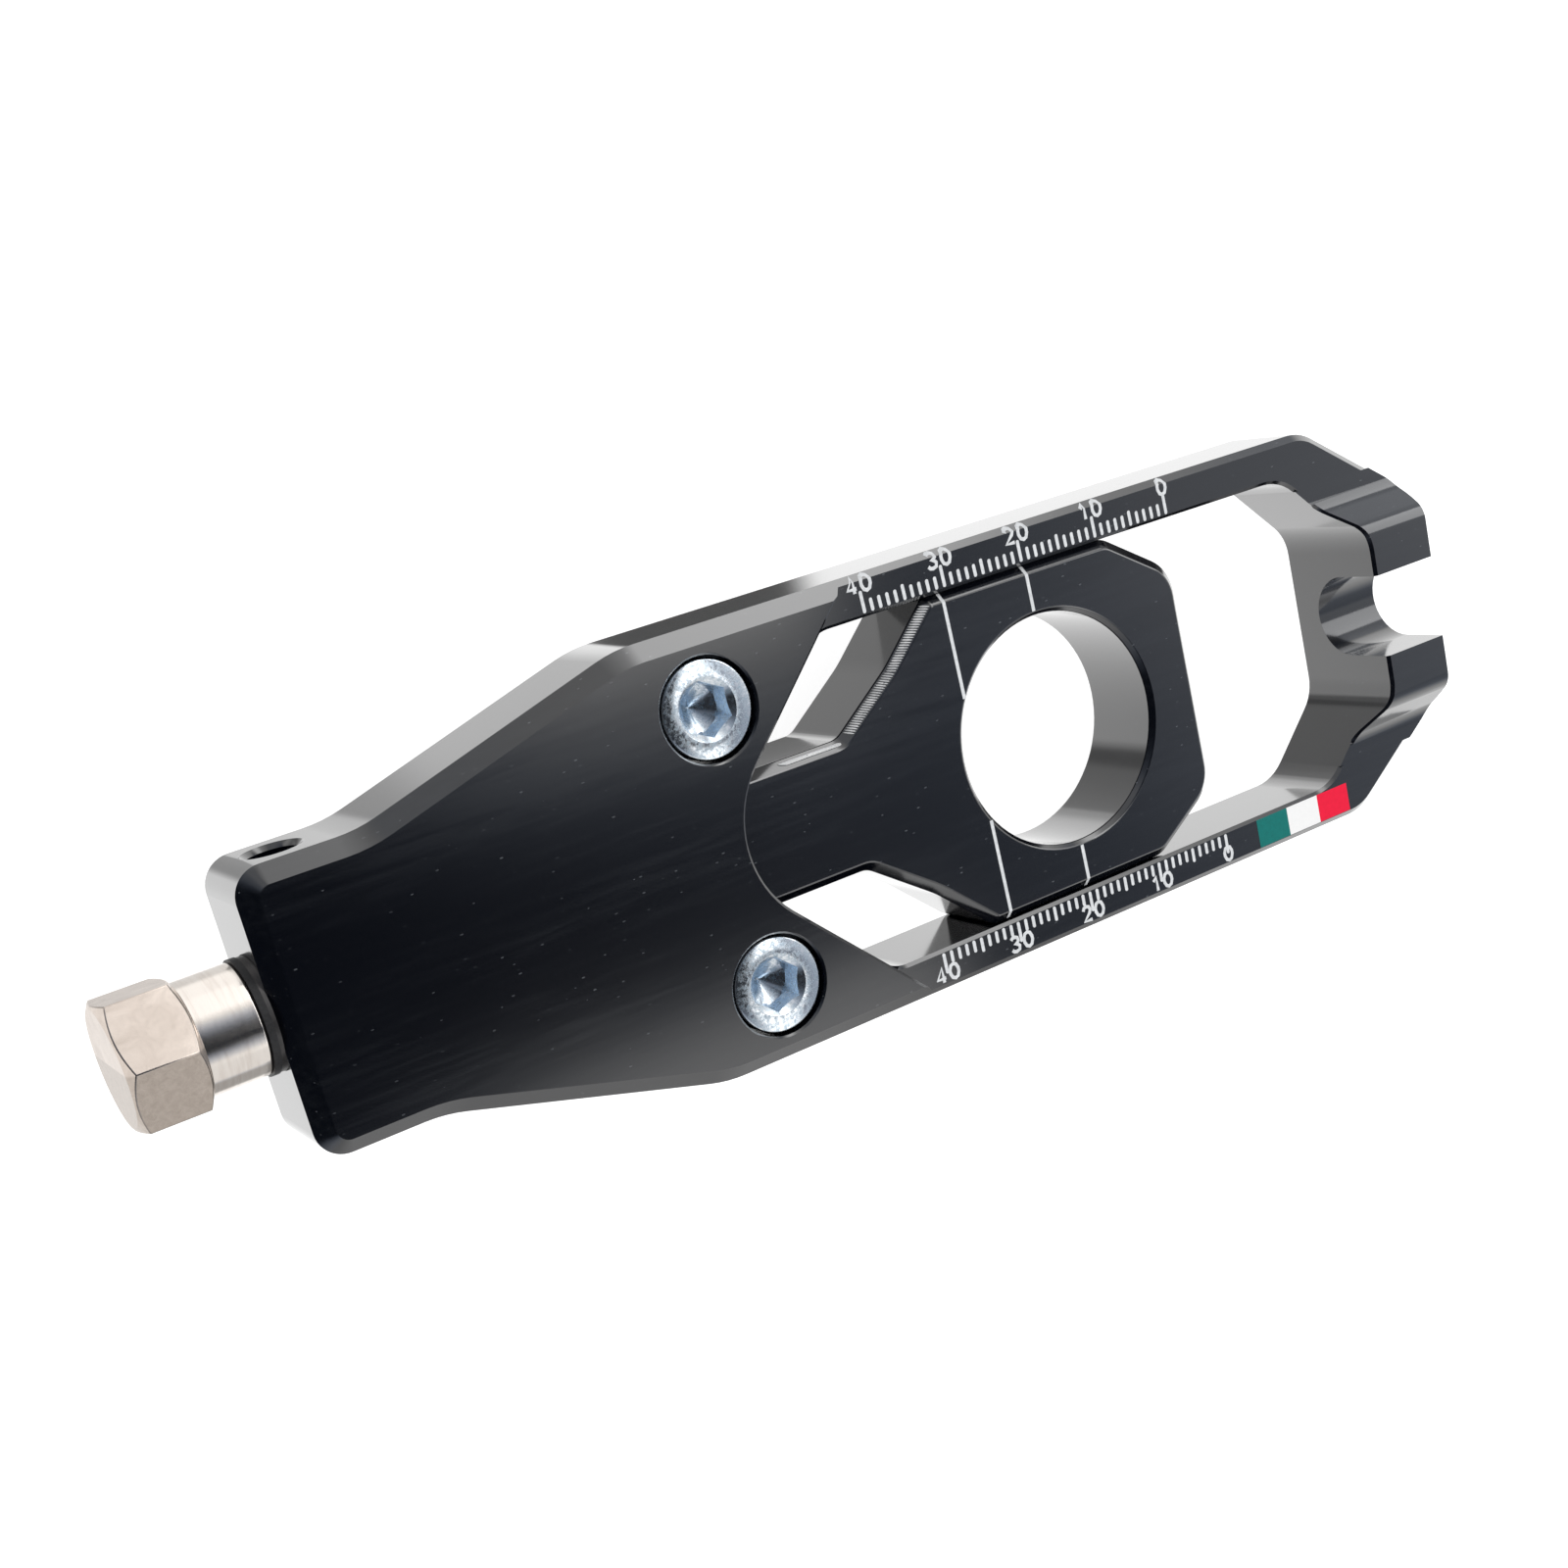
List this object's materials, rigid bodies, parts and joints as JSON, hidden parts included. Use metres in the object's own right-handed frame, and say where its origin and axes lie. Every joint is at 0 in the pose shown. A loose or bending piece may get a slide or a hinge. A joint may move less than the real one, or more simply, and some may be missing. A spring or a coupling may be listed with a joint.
{
  "type": "motorcycle chain adjuster",
  "caption": "Black anodised swingarm chain adjuster: milled frame with engraved scale, sliding axle block, captive adjusting bolt, fixing screws and a raised slotted hook end.",
  "frame": {"origin": "where the axle bore's axis meets the adjusting bolt's axis, halfway through the slider's thickness", "axes": "+X along the bolt's axis from its head towards the hook end, +Y across, +Z out of the face with the scale"},
  "size_m": [0.1571, 0.0448, 0.0211],
  "materials": {
    "frame_anodised": "satin black anodised",
    "slider_anodised": "satin black anodised",
    "bolt_metal": "bare satin, warm grey",
    "ring_black": "matte",
    "washer_steel": "satin",
    "clip_steel": "phosphated",
    "screw_zinc": "blue zinc plated"
  },
  "bodies": {
    "frame": {"adjuster_frame": "frame_anodised", "fixing_screws": "screw_zinc"},
    "slider": {"axle_slider": "slider_anodised"},
    "bolt": {"adjusting_bolt": "bolt_metal", "thrust_ring": "ring_black", "thrust_washer": "washer_steel", "retaining_clip": "clip_steel"}
  },
  "joints": [
    {"name": "bolt_turn", "type": "hinge", "parent": "frame", "child": "bolt", "pos_m": [-0.09, 0, 0], "axis": [1, 0, 0], "range_deg": [-5674, 2708]},
    {"name": "slider_slide", "type": "slide", "parent": "frame", "child": "slider", "axis": [1, 0, 0], "range_m": [-0.0094, 0.0197]}
  ],
  "couplings": [
    {"joint": "bolt_turn", "follows": "slider_slide", "rad_per_m": -5026.5}
  ]
}
